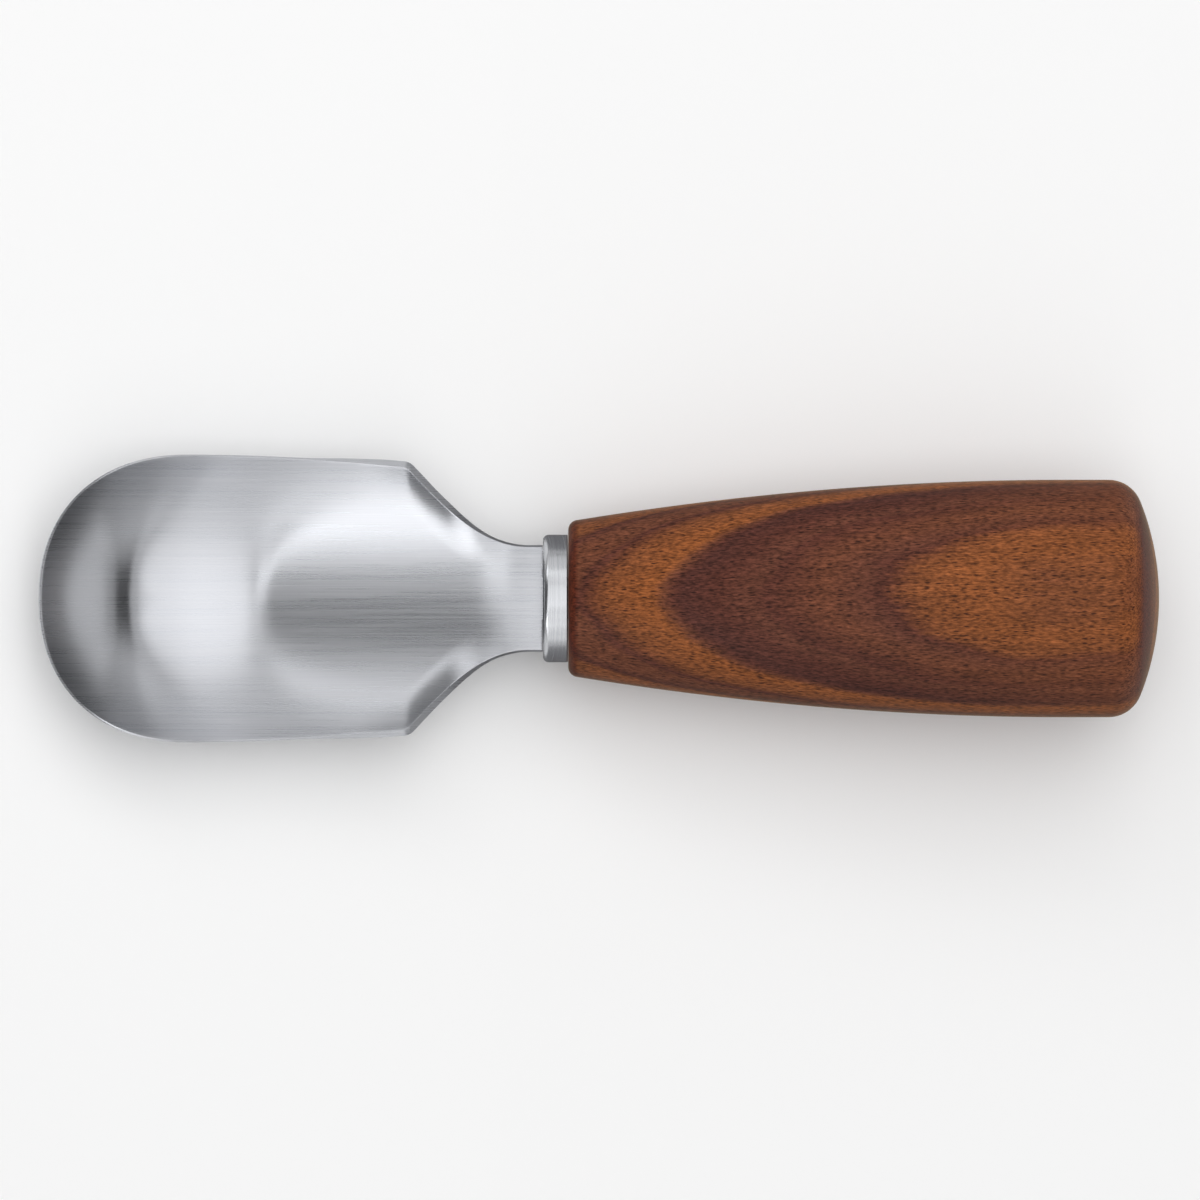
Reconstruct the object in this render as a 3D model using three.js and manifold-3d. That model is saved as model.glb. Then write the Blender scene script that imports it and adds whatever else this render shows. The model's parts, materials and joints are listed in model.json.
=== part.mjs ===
// Serving scoop: a stamped steel blade, a turned steel ferrule and a turned wooden handle.
// Millimetres. The scoop is built along X, with the inner edge of the blade's tip at x = 0 and
// the handle's axis on y = 0, z = 0, and is then laid down as it rests on a table.
import * as THREE from "three";
import { mergeVertices } from "three/addons/utils/BufferGeometryUtils.js";
import Module from "manifold-3d";

const { clamp, degToRad, smoothstep } = THREE.MathUtils;

// Blade outline, along the inner edge of the sheet
const BLADE_LENGTH = 82.75;
const BOWL_LENGTH = 60.3;
const BOWL_WIDTH = 46.9;
const NOSE_LENGTH = 24.5;
const NOSE_FULLNESS = 2.2;
const SHOULDER_WIDTH = 43.4;
const SHOULDER_ROUND = 0.9;
const SHOULDER_ANGLE = degToRad(47);
const SHOULDER_REACH = 8.8;
const NECK_REACH = 7.6;
const NECK_STRAIGHT = 2.3;
const NECK_WIDTH = 17;

// Blade sheet, ground thin round the nose from outside
const SHEET = 1.5;
const CUTTING_EDGE = 0.4;
const GRIND_WIDTH = 5;
const GRIND_END = 58;
const GRIND_FADE = 16;

// Blade form: a trough whose floor falls from the neck, turns at the heel and climbs to the nose.
// Turns are changes of slope, each spread over the length of its bend. The heel's and the nose's bends curve
// with their sweeps as seen from above, and are twice as long at their spreads aside.
const TROUGH_RADIUS = 36;
const NECK_LEVEL = 2.3;
const NECK_BEND = 10;
const NECK_FALL = 0.173;
const HEEL_AT = 36;
const HEEL_BEND = 5;
const HEEL_TURN = 0.23;
const HEEL_SWEEP = 18.8;
const HEEL_SPREAD = 8;
const FLOOR_AT = 25.5;
const FLOOR_BEND = 15;
const FLOOR_TURN = 0.105;
const NOSE_AT = 13.2;
const NOSE_BEND = 6.5;
const NOSE_TURN = 0.6;
const NOSE_SWEEP = 24;
const NOSE_SPREAD = 9;
const TIP_AT = 3;
const TIP_BEND = 12;
const TIP_TURN = 0.4;

// Tang, punched in one with the blade and notched to key the adhesive
const TANG_LENGTH = 62;
const TANG_WIDTH = 7;
const TANG_CHAMFER = 2;
const TANG_ROOT = 0.2;
const NOTCH_RADIUS = 1.2;
const NOTCH_FIRST = 20;
const NOTCH_PITCH = 14;
const NOTCH_COUNT = 3;

// Ferrule
const FERRULE_LENGTH = 4.05;
const FERRULE_DIAMETER = 21.1;
const FERRULE_ROUND = 0.9;

// Handle
const HANDLE_LENGTH = 97.75;
const FRONT_DIAMETER = 25.5;
const FRONT_ROUND = 1.65;
const GRIP_DIAMETER = 39.3;
const TAPER_REACH = 42.5;
const GRIP_FROM = 82;
const BUTT_ROUND = 5.6;
const BUTT_DOME = 43.3;
const DRILL_POINT = degToRad(118);

// Clearances
const FIT_GAP = 0.3;
const SEAT_GAP = 0.1;
const ADHESIVE_FILM = 0.9;
const BORE_SPARE = 1.5;

// Facets
const COLUMNS = 24;
const NOSE_ROWS = 11;
const EDGE_STEPS = 14;
const CORNER_STEPS = 3;
const TURN_STEPS = 64;
const ARC_STEPS = 4;
const SLOPE_STEP = 0.01;

// Places along the scoop that several pieces share
const ferruleAt = BLADE_LENGTH + SEAT_GAP;
const handleAt = ferruleAt + FERRULE_LENGTH + SEAT_GAP;
const tangEnd = BLADE_LENGTH + TANG_LENGTH;
const boreRadius = Math.hypot(TANG_WIDTH, SHEET) / 2 + ADHESIVE_FILM;
const boreDepth = tangEnd - handleAt + BORE_SPARE;

const steel = new THREE.MeshStandardMaterial({ color: 0xb4b6ba, roughness: 0.35, metalness: 1 });
const turnedSteel = new THREE.MeshStandardMaterial({ color: 0xbcbec2, roughness: 0.25, metalness: 1 });
const wood = new THREE.MeshStandardMaterial({ color: 0x754738, roughness: 0.5, metalness: 0 });
const resin = new THREE.MeshStandardMaterial({ color: 0xd9cfae, roughness: 0.4, metalness: 0 });

const wasm = await Module();
wasm.setup();

// Closed geometry as a solid that can be joined and cut
function solidOf(geometry) {
  const bare = new THREE.BufferGeometry();
  bare.setAttribute("position", geometry.getAttribute("position"));
  bare.setIndex(geometry.index);
  const merged = mergeVertices(bare, 1e-4);
  const vertProperties = new Float32Array(merged.getAttribute("position").array);
  const triVerts = new Uint32Array(merged.index.array);
  return new wasm.Manifold(new wasm.Mesh({ numProp: 3, vertProperties, triVerts }));
}

function geometryOf(solid) {
  const mesh = solid.getMesh();
  const geometry = new THREE.BufferGeometry();
  geometry.setAttribute("position", new THREE.BufferAttribute(mesh.vertProperties, mesh.numProp));
  geometry.setIndex(new THREE.BufferAttribute(mesh.triVerts, 1));
  geometry.computeVertexNormals();
  return geometry;
}

// Profile of radius and distance, turned about the X axis
function turned(profile) {
  return new THREE.LatheGeometry(profile.getPoints(ARC_STEPS), TURN_STEPS).rotateZ(-Math.PI / 2);
}

// Distance gained past the middle of a bend, easing in over the bend's length
function pastBend(distance, bend) {
  const eased = clamp(distance + bend / 2, 0, bend);
  return eased ** 2 / (2 * bend) + Math.max(0, distance - bend / 2);
}

// Inner face of the blade, which the nose closes by blending its climb with the trough's sides
function innerHeight(x, y) {
  const neckBendAt = BLADE_LENGTH - NECK_LEVEL - NECK_BEND / 2;
  const fall = NECK_FALL * pastBend(neckBendAt - x, NECK_BEND);
  const heelFrom = HEEL_AT + y ** 2 / (2 * HEEL_SWEEP);
  const heelBend = HEEL_BEND * (1 + (y / HEEL_SPREAD) ** 2);
  const heel = HEEL_TURN * pastBend(heelFrom - x, heelBend);
  const floor = FLOOR_TURN * pastBend(FLOOR_AT - x, FLOOR_BEND);
  const swept = x - y ** 2 / (2 * NOSE_SWEEP);
  const noseBend = NOSE_BEND * (1 + (y / NOSE_SPREAD) ** 2);
  const climb = NOSE_TURN * pastBend(NOSE_AT - swept, noseBend);
  const nose = climb + TIP_TURN * pastBend(TIP_AT - swept, TIP_BEND);
  const across = y ** 2 / (2 * TROUGH_RADIUS);
  return SHEET / 2 - fall + heel + floor + Math.hypot(across, nose);
}

function innerNormal(x, y) {
  const along = innerHeight(x + SLOPE_STEP, y) - innerHeight(x - SLOPE_STEP, y);
  const across = innerHeight(x, y + SLOPE_STEP) - innerHeight(x, y - SLOPE_STEP);
  return new THREE.Vector3(-along, -across, 2 * SLOPE_STEP).normalize();
}

// The sheet thins to the cutting edge within the ground band, which fades out towards the shoulders
function sheetThickness(x, inset) {
  const ground = clamp(1 - inset / GRIND_WIDTH, 0, 1);
  const reach = 1 - smoothstep(x, GRIND_END - GRIND_FADE, GRIND_END);
  return SHEET - (SHEET - CUTTING_EDGE) * ground * reach;
}

// Half outline behind the nose: drawn-in side, rounded shoulder corner, sweep into the neck
function bladeEdge() {
  const half = BOWL_WIDTH / 2;
  const shoulder = SHOULDER_WIDTH / 2;
  const neck = NECK_WIDTH / 2;
  const neckFrom = BLADE_LENGTH - NECK_STRAIGHT;
  const run = Math.cos(SHOULDER_ANGLE);
  const drop = Math.sin(SHOULDER_ANGLE);
  const cutX = BOWL_LENGTH + SHOULDER_ROUND * run;
  const cutY = shoulder - SHOULDER_ROUND * drop;
  const edge = new THREE.Path();
  edge.moveTo(NOSE_LENGTH, half);
  edge.quadraticCurveTo((NOSE_LENGTH + BOWL_LENGTH) / 2, half, BOWL_LENGTH - SHOULDER_ROUND, shoulder);
  edge.quadraticCurveTo(BOWL_LENGTH, shoulder, cutX, cutY);
  edge.bezierCurveTo(
    cutX + SHOULDER_REACH * run,
    cutY - SHOULDER_REACH * drop,
    neckFrom - NECK_REACH,
    neck,
    neckFrom,
    neck,
  );
  edge.lineTo(BLADE_LENGTH, neck);
  const [side, corner, sweep, straight] = edge.curves;
  return [
    ...side.getPoints(EDGE_STEPS),
    ...corner.getPoints(CORNER_STEPS).slice(1),
    ...sweep.getPoints(EDGE_STEPS).slice(1),
    ...straight.getPoints(1).slice(1),
  ];
}

// Row of the rounded nose: a square grid spread over half a disc, filled out to the nose's curve
function noseRow(ahead) {
  const row = [];
  for (let column = 0; column <= COLUMNS; column++) {
    const aside = (2 * column) / COLUMNS - 1;
    const forward = ahead * Math.sqrt(1 - aside ** 2 / 2);
    const across = aside * Math.sqrt(1 - ahead ** 2 / 2);
    const reach = Math.hypot(forward, across);
    const power = Math.abs(forward) ** NOSE_FULLNESS + Math.abs(across) ** NOSE_FULLNESS;
    const fill = reach > 0 ? reach / power ** (1 / NOSE_FULLNESS) : 1;
    row.push({
      x: NOSE_LENGTH * (1 - forward * fill),
      y: (BOWL_WIDTH / 2) * across * fill,
      inset: (1 - reach) * NOSE_LENGTH,
    });
  }
  return row;
}

function edgeRow(station) {
  const row = [];
  for (let column = 0; column <= COLUMNS; column++) {
    const aside = (2 * column) / COLUMNS - 1;
    row.push({ x: station.x, y: aside * station.y, inset: (1 - Math.abs(aside)) * station.y });
  }
  return row;
}

// Closed sheet over a grid of rows: inner face, outer face and the cut edge all round
function bladeSheet() {
  const rows = [];
  for (let step = 0; step < NOSE_ROWS; step++) {
    rows.push(noseRow(1 - step / NOSE_ROWS));
  }
  for (const station of bladeEdge()) {
    rows.push(edgeRow(station));
  }
  const wide = COLUMNS + 1;
  const outer = rows.length * wide;
  const positions = new Float32Array(outer * 6);
  rows.flat().forEach((point, place) => {
    const inner = new THREE.Vector3(point.x, point.y, innerHeight(point.x, point.y));
    inner.toArray(positions, place * 3);
    const depth = sheetThickness(point.x, point.inset);
    inner.addScaledVector(innerNormal(point.x, point.y), -depth);
    inner.toArray(positions, (outer + place) * 3);
  });
  const triangles = [];
  const quad = (a, b, c, d) => triangles.push(a, b, c, a, c, d);
  for (let row = 0; row + 1 < rows.length; row++) {
    for (let column = 0; column < COLUMNS; column++) {
      const near = row * wide + column;
      const far = near + wide;
      quad(near, far, far + 1, near + 1);
      quad(outer + near, outer + near + 1, outer + far + 1, outer + far);
    }
    const right = row * wide;
    const left = right + COLUMNS;
    quad(right, outer + right, outer + right + wide, right + wide);
    quad(left, left + wide, outer + left + wide, outer + left);
  }
  const last = (rows.length - 1) * wide;
  for (let column = 0; column < COLUMNS; column++) {
    quad(column, column + 1, outer + column + 1, outer + column);
    quad(last + column, outer + last + column, outer + last + column + 1, last + column + 1);
  }
  const sheet = new THREE.BufferGeometry();
  sheet.setAttribute("position", new THREE.BufferAttribute(positions, 3));
  sheet.setIndex(triangles);
  return sheet;
}

// Flat tang with half-round notches in both edges, made larger all round to cut its own seat
function tangPlate(from, grow) {
  const half = TANG_WIDTH / 2 + grow;
  const end = tangEnd + grow;
  const notch = NOTCH_RADIUS - grow;
  const places = [];
  for (let copy = 0; copy < NOTCH_COUNT; copy++) {
    places.push(BLADE_LENGTH + NOTCH_FIRST + copy * NOTCH_PITCH);
  }
  const outline = new THREE.Shape();
  outline.moveTo(from, -half);
  for (const place of places) {
    outline.lineTo(place - notch, -half);
    outline.absarc(place, -half, notch, Math.PI, 0, true);
  }
  outline.lineTo(end - TANG_CHAMFER, -half);
  outline.lineTo(end, -half + TANG_CHAMFER);
  outline.lineTo(end, half - TANG_CHAMFER);
  outline.lineTo(end - TANG_CHAMFER, half);
  for (const place of places.reverse()) {
    outline.lineTo(place + notch, half);
    outline.absarc(place, half, notch, 0, -Math.PI, true);
  }
  outline.lineTo(from, half);
  const depth = SHEET + 2 * grow;
  const plate = new THREE.ExtrudeGeometry(outline, { depth, bevelEnabled: false, curveSegments: ARC_STEPS });
  return plate.translate(0, 0, -depth / 2);
}

function scoopBlade() {
  const tang = solidOf(tangPlate(BLADE_LENGTH - TANG_ROOT, 0));
  return geometryOf(solidOf(bladeSheet()).add(tang));
}

// Turned collar with a rounded front edge and a slot for the tang
function ferrule() {
  const radius = FERRULE_DIAMETER / 2;
  const profile = new THREE.Path();
  profile.moveTo(0, 0);
  profile.lineTo(radius - FERRULE_ROUND, 0);
  profile.absarc(radius - FERRULE_ROUND, FERRULE_ROUND, FERRULE_ROUND, -Math.PI / 2, 0);
  profile.lineTo(radius, FERRULE_LENGTH);
  profile.lineTo(0, FERRULE_LENGTH);
  const slot = new THREE.BoxGeometry(4 * FERRULE_LENGTH, TANG_WIDTH + 2 * FIT_GAP, SHEET + 2 * FIT_GAP);
  return geometryOf(solidOf(turned(profile)).subtract(solidOf(slot)));
}

// Turned handle: drilled bore, rounded front edge, swelling grip, rounded butt and domed end
function handle() {
  const front = FRONT_DIAMETER / 2;
  const grip = GRIP_DIAMETER / 2;
  const boreTip = boreDepth + boreRadius / Math.tan(DRILL_POINT / 2);
  const taper = (grip - front) / TAPER_REACH;
  const lean = Math.hypot(1, taper);
  const frontCentre = front + taper * FRONT_ROUND - FRONT_ROUND * lean;
  const domeCentre = HANDLE_LENGTH - BUTT_DOME;
  const buttCentre = grip - BUTT_ROUND;
  const buttAt = domeCentre + Math.sqrt((BUTT_DOME - BUTT_ROUND) ** 2 - buttCentre ** 2);
  const domeAngle = Math.atan2(buttAt - domeCentre, buttCentre);
  const profile = new THREE.Path();
  profile.moveTo(0, boreTip);
  profile.lineTo(boreRadius, boreDepth);
  profile.lineTo(boreRadius, 0);
  profile.lineTo(frontCentre, 0);
  profile.absarc(frontCentre, FRONT_ROUND, FRONT_ROUND, -Math.PI / 2, -Math.atan(taper));
  profile.quadraticCurveTo(grip, TAPER_REACH, grip, GRIP_FROM);
  profile.lineTo(grip, buttAt);
  profile.absarc(buttCentre, buttAt, BUTT_ROUND, 0, domeAngle);
  profile.absarc(0, domeCentre, BUTT_DOME, domeAngle, Math.PI / 2);
  return turned(profile);
}

// Cured adhesive that fills the bore round the tang and sits in its notches
function tangAdhesive() {
  const radius = boreRadius - FIT_GAP;
  const profile = new THREE.Path();
  profile.moveTo(0, FIT_GAP);
  profile.lineTo(radius, FIT_GAP);
  profile.lineTo(radius, boreDepth);
  profile.lineTo(0, boreDepth);
  const seat = tangPlate(BLADE_LENGTH, FIT_GAP).translate(-handleAt, 0, 0);
  return geometryOf(solidOf(turned(profile)).subtract(solidOf(seat)));
}

function piece(name, geometry, material, at) {
  const mesh = new THREE.Mesh(geometry, material);
  mesh.name = name;
  mesh.position.x = at;
  return mesh;
}

// Lowest point of a piece above a line that falls towards the handle
function lowest(mesh, fall) {
  const place = mesh.geometry.getAttribute("position");
  let least = Infinity;
  for (let point = 0; point < place.count; point++) {
    least = Math.min(least, place.getZ(point) + fall * (place.getX(point) + mesh.position.x));
  }
  return least;
}

// Fall of the table line that touches both the blade and the handle
function restingFall(blade, grip) {
  let low = 0;
  let high = 1;
  for (let step = 0; step < 40; step++) {
    const fall = (low + high) / 2;
    if (lowest(grip, fall) < lowest(blade, fall)) {
      low = fall;
    } else {
      high = fall;
    }
  }
  return high;
}

const blade = piece("scoop_blade", scoopBlade(), steel, 0);
const collar = piece("ferrule", ferrule(), turnedSteel, ferruleAt);
const grip = piece("handle", handle(), wood, handleAt);
const adhesive = piece("tang_adhesive", tangAdhesive(), resin, handleAt);

// Laid on a table: blade and handle touch z = 0, with the origin under the middle of the scoop
const scoop = new THREE.Group();
scoop.add(blade, collar, grip, adhesive);
scoop.rotation.y = -Math.atan(restingFall(blade, grip));
const extent = new THREE.Box3().setFromObject(scoop, true);
const middle = extent.getCenter(new THREE.Vector3());
scoop.position.set(-middle.x, -middle.y, -extent.min.z);

const part = new THREE.Group();
part.add(scoop);

export default part;
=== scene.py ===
"""Serving scoop: a dished steel blade, a steel ferrule and a turned wooden handle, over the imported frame."""
import json
import math

import bpy
from mathutils import Matrix, Vector
from mathutils.geometry import interpolate_bezier


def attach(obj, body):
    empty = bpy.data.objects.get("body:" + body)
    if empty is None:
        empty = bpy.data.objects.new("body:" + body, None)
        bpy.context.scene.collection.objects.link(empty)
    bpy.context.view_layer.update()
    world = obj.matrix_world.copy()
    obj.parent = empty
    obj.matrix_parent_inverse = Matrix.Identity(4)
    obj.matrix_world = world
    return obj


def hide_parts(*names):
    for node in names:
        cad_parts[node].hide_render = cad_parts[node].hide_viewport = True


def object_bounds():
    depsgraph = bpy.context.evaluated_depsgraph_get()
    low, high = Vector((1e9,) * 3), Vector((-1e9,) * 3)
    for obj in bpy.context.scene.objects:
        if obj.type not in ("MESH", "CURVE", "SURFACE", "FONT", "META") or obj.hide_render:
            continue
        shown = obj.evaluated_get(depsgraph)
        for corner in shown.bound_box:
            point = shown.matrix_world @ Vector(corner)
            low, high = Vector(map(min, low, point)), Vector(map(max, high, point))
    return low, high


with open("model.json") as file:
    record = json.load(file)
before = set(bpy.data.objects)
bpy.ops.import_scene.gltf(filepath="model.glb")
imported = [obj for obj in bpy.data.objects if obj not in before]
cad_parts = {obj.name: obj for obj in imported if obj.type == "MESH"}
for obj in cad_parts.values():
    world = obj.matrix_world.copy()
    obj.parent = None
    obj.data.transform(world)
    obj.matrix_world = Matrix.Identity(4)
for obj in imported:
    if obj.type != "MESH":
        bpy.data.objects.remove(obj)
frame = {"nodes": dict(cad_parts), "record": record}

CAD_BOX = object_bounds()
CAD_SPAN = Vector(CAD_BOX[1]) - Vector(CAD_BOX[0])

bl_info = {
    "name": "Serving Scoop",
    "version": (1, 0, 0),
    "blender": (4, 5, 0),
    "location": "3D View > Sidebar > Scoop",
    "description": "Models a serving scoop with a steel blade and a wooden handle, and its studio",
    "category": "Object",
}

MM = 0.001
TINY = 0.01 * MM

# Distance along the handle's axis from the blade's tip to the grip mount
GRIP_FROM_TIP = 142 * MM


# Settings

def linear(hex_colour):
    """sRGB hex colour as linear red, green, blue and alpha."""
    channels = [int(hex_colour[start:start + 2], 16) / 255 for start in (1, 3, 5)]
    return [*(c / 12.92 if c <= 0.04045 else ((c + 0.055) / 1.055) ** 2.4 for c in channels), 1]


def size(name, description, millimetres, least=0):
    return bpy.props.FloatProperty(
        name=name,
        description=description,
        default=millimetres * MM,
        min=least * MM,
        unit="LENGTH",
        precision=5,
    )


def turn(name, description, degrees):
    return bpy.props.FloatProperty(
        name=name, description=description, default=math.radians(degrees), unit="ROTATION", subtype="ANGLE"
    )


def number(name, description, value, least=0):
    return bpy.props.FloatProperty(name=name, description=description, default=value, min=least)


def count(name, description, value):
    return bpy.props.IntProperty(name=name, description=description, default=value, min=1)


def tint(name, description, hex_colour):
    return bpy.props.FloatVectorProperty(
        name=name, description=description, default=linear(hex_colour), size=4, min=0, max=1, subtype="COLOR"
    )


class ScoopBlade(bpy.types.PropertyGroup):
    """Sizes of the stamped steel blade, along from its tip and across from its middle."""

    length: size("Length", "Tip to ferrule", 82.75)
    bowl_length: size("Bowl length", "Tip to the shoulder corners", 60.3)
    bowl_width: size("Bowl width", "Widest part of the bowl", 46.9)
    nose_length: size("Nose length", "Length of the rounded nose", 24.5)
    nose_fullness: number("Nose fullness", "2 is an ellipse, more is squarer", 2.2, least=1)
    shoulder_width: size("Shoulder width", "Width at the shoulder corners", 43.4)
    shoulder_round: size("Shoulder rounding", "Rounding of the shoulder corners", 0.9)
    shoulder_angle: turn("Shoulder angle", "Slant of the edge behind a shoulder corner", 47)
    shoulder_reach: size("Shoulder reach", "How far the sweep keeps the shoulder's slant", 8.8)
    neck_reach: size("Neck reach", "How far the sweep runs along the neck", 7.6)
    neck_straight: size("Straight neck", "Parallel part before the ferrule", 2.3)
    neck_width: size("Neck width", "Width at the ferrule", 17)
    sheet: size("Sheet", "Thickness of the steel sheet", 1.5)
    cutting_edge: size("Cutting edge", "Thickness of the ground rim", 0.4)
    grind_width: size("Grind width", "Width of the ground band along the rim", 5)
    grind_end: size("Grind end", "Where the ground band ends, from the tip", 58)
    grind_fade: size("Grind fade", "Length over which the ground band fades out", 16)
    trough_radius: size("Trough radius", "Radius of the sheet across its middle", 36)
    neck_fall_at: size("Neck bend at", "Middle of the bend below the ferrule", 75.45)
    neck_bend: size("Neck bend", "Length of the bend below the ferrule", 10)
    neck_fall: number("Neck fall", "Slope that the neck bend gives", 0.173)
    heel_at: size("Heel at", "Middle of the bend into the bowl", 36)
    heel_bend: size("Heel bend", "Length of the bend into the bowl", 5)
    heel_sweep: size("Heel sweep", "Radius of the heel seen from above", 18.8)
    heel_spread: size("Heel spread", "Distance aside at which the heel's bend is twice as long", 8)
    heel_turn: number("Heel turn", "Slope that the heel gives", 0.23)
    floor_at: size("Floor at", "Middle of the bowl floor's bend", 25.5)
    floor_bend: size("Floor bend", "Length of the bowl floor's bend", 15)
    floor_turn: number("Floor turn", "Slope that the floor gives", 0.105)
    nose_at: size("Nose bend at", "Middle of the bend into the nose", 13.2)
    nose_bend: size("Nose bend", "Length of the bend into the nose", 6.5)
    nose_turn: number("Nose turn", "Slope that the nose gives", 0.6)
    tip_at: size("Tip bend at", "Middle of the gentle bend up to the tip", 3)
    tip_bend: size("Tip bend", "Length of the gentle bend up to the tip", 12)
    tip_turn: number("Tip turn", "Slope that the tip adds", 0.4)
    nose_sweep: size("Nose sweep", "Radius of the nose bend seen from above", 24)
    nose_spread: size("Nose spread", "Distance aside at which the nose's bend is twice as long", 9)
    tang_length: size("Tang length", "Part of the sheet hidden in the handle", 62)
    tang_width: size("Tang width", "Width of the hidden part", 7)
    lip_height: size("Lip height", "How far the shoulder's edge turns up", 1)
    lip_width: size("Lip width", "Width of the turned-up edge", 6.5)
    edge_round: size("Edge rounding", "Broken edge of the stamped sheet", 0.2)
    edge_segments: count("Edge segments", "Facets across the broken edge", 3)
    sharp_from: turn("Sharp from", "Edges that turn by more than this are broken", 50)
    columns: count("Columns", "Grid columns across the blade", 112)
    nose_rows: count("Nose rows", "Grid rows in the nose", 64)
    edge_rows: count("Edge rows", "Grid rows along each curve of the edge", 44)
    corner_rows: count("Corner rows", "Grid rows round a shoulder corner", 8)
    steel_dark: tint("Darker steel", "Steel in the deeper brush streaks", "#B6B8BD")
    steel_light: tint("Lighter steel", "Steel between the brush streaks", "#C6C7CB")


class ScoopFerrule(bpy.types.PropertyGroup):
    """Sizes of the turned steel collar."""

    at: size("At", "Front face, from the blade's tip", 82.85)
    length: size("Length", "Length along the handle's axis", 4.05)
    diameter: size("Diameter", "Outside diameter", 21.1)
    front_round: size("Front rounding", "Rounded front edge", 0.9)
    back_round: size("Back rounding", "Broken back edge", 0.15)
    slot_gap: size("Slot gap", "Clearance round the tang", 0.3)
    sharp_from: turn("Sharp from", "Edges that turn by more than this stay sharp", 35)
    facets: count("Facets", "Facets round the axis", 160)
    front_steps: count("Front steps", "Facets along the front rounding", 8)
    back_steps: count("Back steps", "Facets along the back rounding", 3)
    steel_dark: tint("Darker steel", "Steel in the turning lines", "#BBBDC1")
    steel_light: tint("Lighter steel", "Steel between the turning lines", "#CDCED1")


class ScoopHandle(bpy.types.PropertyGroup):
    """Sizes of the turned wooden handle, and the tones of its wood."""

    at: size("At", "Front face, from the blade's tip", 87)
    length: size("Length", "Front face to the end of the butt", 97.75)
    front_diameter: size("Front diameter", "Diameter behind the ferrule", 25.5)
    front_round: size("Front rounding", "Rounded front edge", 1.65)
    grip_diameter: size("Grip diameter", "Thickest part", 39.3)
    taper_reach: size("Taper reach", "How far the straight taper aims along the handle", 42.5)
    grip_from: size("Grip from", "Where the thickest part starts", 82)
    butt_round: size("Butt rounding", "Rounded edge of the butt", 5.6)
    butt_dome: size("Butt dome", "Radius of the domed butt", 43.3)
    bore_diameter: size("Bore diameter", "Blind bore for the tang", 8.96)
    bore_depth: size("Bore depth", "Depth of the blind bore", 59.25)
    bore_point: size("Bore point", "Length of the drilled point", 2.7)
    sharp_from: turn("Sharp from", "Edges that turn by more than this stay sharp", 35)
    facets: count("Facets", "Facets round the axis", 160)
    front_steps: count("Front steps", "Facets along the front rounding", 8)
    swell_steps: count("Swell steps", "Facets along the taper and swell", 40)
    butt_steps: count("Butt steps", "Facets along the butt's rounding", 10)
    dome_steps: count("Dome steps", "Facets along the dome", 14)
    late_line: tint("Late line", "Darkest line of a growth layer", "#502D26")
    late_wood: tint("Late wood", "Dark end of a growth layer", "#573026")
    heart_wood: tint("Heart wood", "Dark red wood between the lines", "#62392B")
    middle_wood: tint("Middle wood", "Middle of a growth layer", "#6B3E2B")
    early_wood: tint("Early wood", "Pale start of a growth layer", "#804A2A")
    bright_wood: tint("Bright wood", "Palest part of a growth layer", "#8A4F29")
    butt_wood: tint("Butt wood", "Tone that evens out the layers near the butt", "#804A2B")
    # Darker red of the ends: at the front it is painted shade of the rounding together with oil gathered
    # there; before the butt it is a darker red band
    shade_and_oil_red: tint("Shade and oil red", "Ends of the handle: painted shade with oil at the front, a darker band before the butt", "#4C190C")
    pore: tint("Pore", "Open pores", "#28130F")
    sheen: tint("Sheen", "Light that grazes the oiled face", "#E2D2AC")


class ScoopAdhesive(bpy.types.PropertyGroup):
    """Tones of the adhesive round the tang."""

    resin: tint("Resin", "Cured resin", "#CDB47A")
    cloudy: tint("Cloudy resin", "Resin with fine bubbles in it", "#DCCB9C")


class ScoopStudio(bpy.types.PropertyGroup):
    """Camera and light of the studio."""

    frame_width: size("Frame width", "Width that the picture covers at the handle's axis", 198.6)
    camera_distance: size("Camera distance", "From the handle's axis", 2000)
    look_along: size("Look along", "Middle of the picture, from the blade's tip", 92.26)
    look_aside: size("Look aside", "Middle of the picture, across from the axis", -0.25, least=-50)
    ambient: number("Ambient", "Strength of the surrounding light", 0.38)
    table: tint("Table", "White table top", "#FBFBFB")
    surround: tint("Surround", "Light all round", "#FFFFFF")


# Modelling helpers

def deselect_all():
    """Leaves object mode clean before a piece is started."""
    if bpy.context.mode != "OBJECT":
        bpy.ops.object.mode_set(mode="OBJECT")
    bpy.ops.object.select_all(action="DESELECT")


def rest_matrix():
    """Turns and moves a piece from the scoop's own axis to where it lies on the table."""
    mount = frame["record"]["mounts"][0]
    axis = Vector(mount["axis"])
    rotation = Matrix.Rotation(-math.atan2(axis.z, axis.x), 4, "Y")
    shift = Vector(mount["pos_m"]) - rotation @ Vector((GRIP_FROM_TIP, 0, 0))
    return Matrix.Translation(shift) @ rotation


def apply_modifier(piece, kind, **settings):
    modifier = piece.modifiers.new(kind.title(), kind)
    for name, value in settings.items():
        setattr(modifier, name, value)
    bpy.ops.object.modifier_apply(modifier=modifier.name)


def lay_down(piece):
    """Puts the finished piece in its place, with the place in its vertices."""
    piece.matrix_world = rest_matrix()
    bpy.ops.object.transform_apply(location=True, rotation=True, scale=True)


def finish_piece(piece, name, node, material):
    piece.name = name
    piece.data.name = name
    piece.data.materials.clear()
    piece.data.materials.append(material)
    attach(piece, "root")
    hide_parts(node)


def arc_points(centre, radius, start, end, steps):
    """Points of an arc in the plane of distance along the axis and radius from it."""
    points = []
    for step in range(steps + 1):
        angle = start + (end - start) * step / steps
        points.append((centre[0] + radius * math.cos(angle), centre[1] + radius * math.sin(angle)))
    return points


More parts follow.
